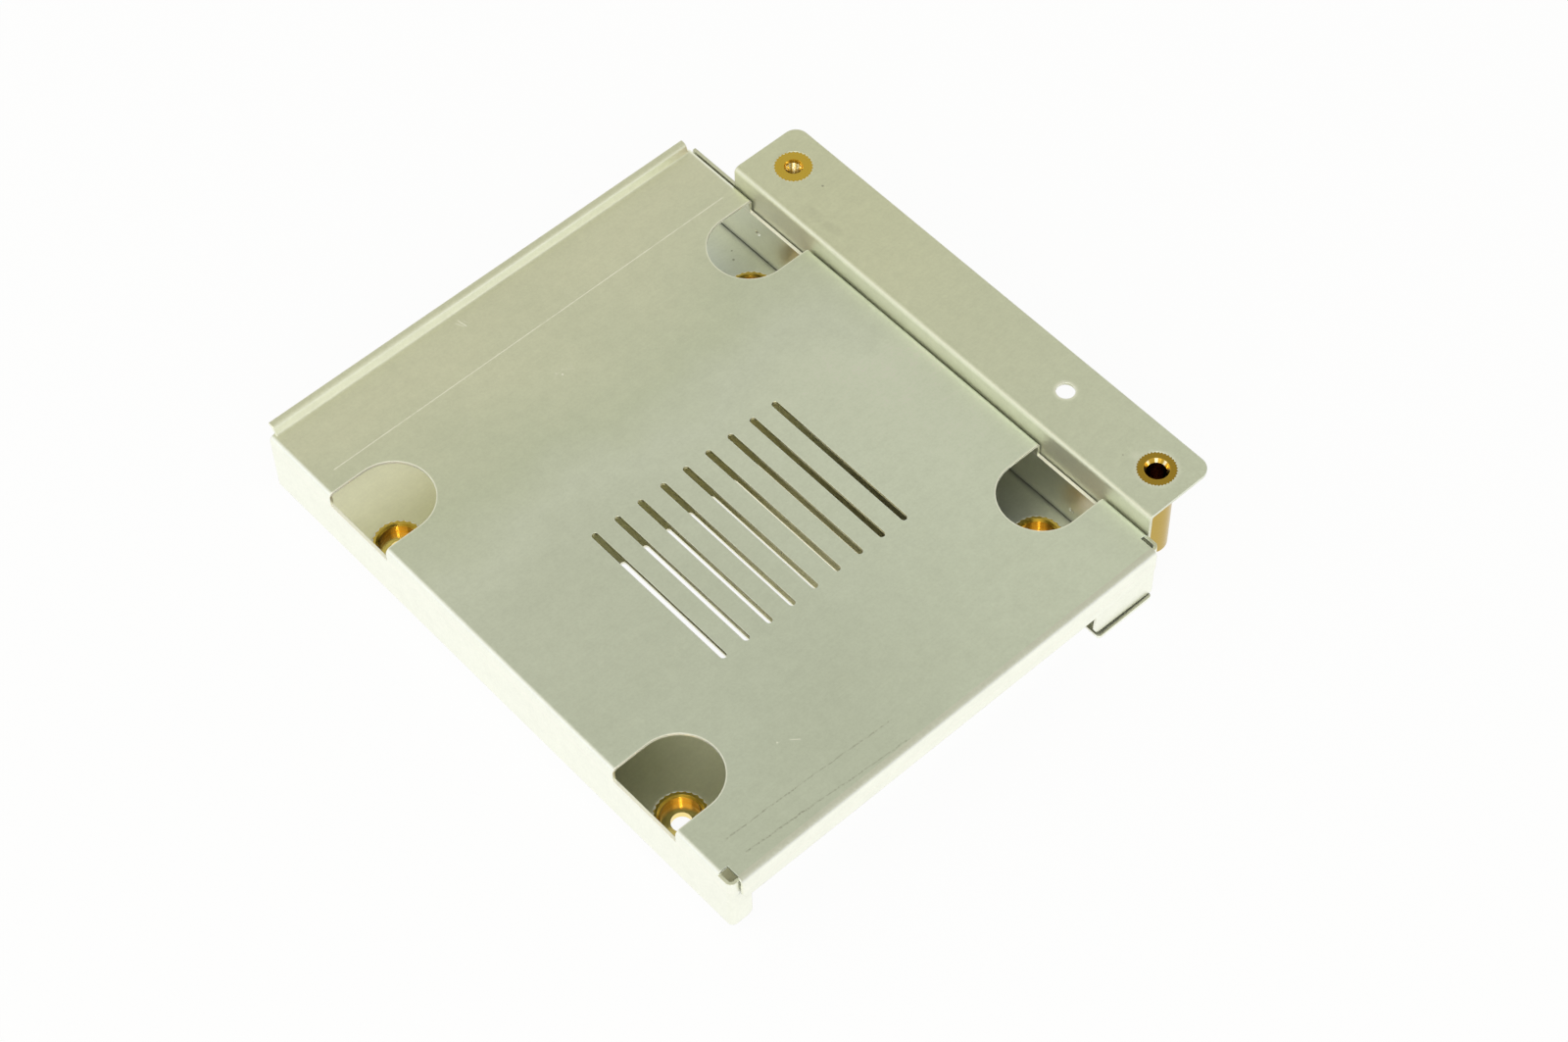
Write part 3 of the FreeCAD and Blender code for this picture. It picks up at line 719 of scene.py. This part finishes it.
def add_world():
    """Soft room: white round the horizon, a duller warm ceiling, white where the camera sees it."""
    world = bpy.data.worlds.new("studio")
    world.use_nodes = True
    bpy.context.scene.world = world
    graph = Graph(world.node_tree)
    direction = graph.split(graph.node("ShaderNodeTexCoord").outputs["Generated"])
    room = graph.ramp(direction["Z"], ((0.0, colour(1.0, 1.0, 1.0)), (0.30, colour(0.86, 0.86, 0.80)),
                                       (0.65, colour(0.53, 0.525, 0.41)), (1.0, colour(0.51, 0.505, 0.39))))
    shown = graph.node("ShaderNodeLightPath").outputs["Is Camera Ray"]
    sky = graph.mix(shown, room, colour(1.0, 1.0, 1.0))
    background = graph.node("ShaderNodeBackground")
    graph.feed(background.inputs["Color"], sky)
    output = graph.node("ShaderNodeOutputWorld")
    graph.feed(output.inputs["Surface"], background.outputs[0])


def add_lamp(name, place, size, power):
    """Soft square lamp aimed at the caddy."""
    data = bpy.data.lights.new(name, "AREA")
    data.size = size
    data.energy = power
    lamp = bpy.data.objects.new(name, data)
    bpy.context.scene.collection.objects.link(lamp)
    lamp.location = place
    lamp.rotation_euler = (-Vector(place)).to_track_quat("-Z", "Y").to_euler()


def add_camera():
    """Camera at the photograph's place."""
    right = Vector((math.cos(AZIMUTH), math.sin(AZIMUTH), 0))
    back = Vector((math.sin(AZIMUTH) * math.cos(ELEVATION),
                   -math.cos(AZIMUTH) * math.cos(ELEVATION), math.sin(ELEVATION)))
    up = back.cross(right)
    level = right * math.cos(ROLL) + up * math.sin(ROLL)
    upright = up * math.cos(ROLL) - right * math.sin(ROLL)
    data = bpy.data.cameras.new("camera")
    data.sensor_fit = "HORIZONTAL"
    data.sensor_width = SENSOR
    data.lens = LENS
    camera = bpy.data.objects.new("camera", data)
    bpy.context.scene.collection.objects.link(camera)
    turn = Matrix((level, upright, back)).transposed().to_4x4()
    camera.matrix_world = Matrix.Translation(EYE) @ turn
    bpy.context.scene.camera = camera


bpy.context.scene.view_settings.view_transform = "Standard"
dress(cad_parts)
add_floor()
add_world()
for lamp_settings in LAMPS:
    add_lamp(*lamp_settings)
add_camera()
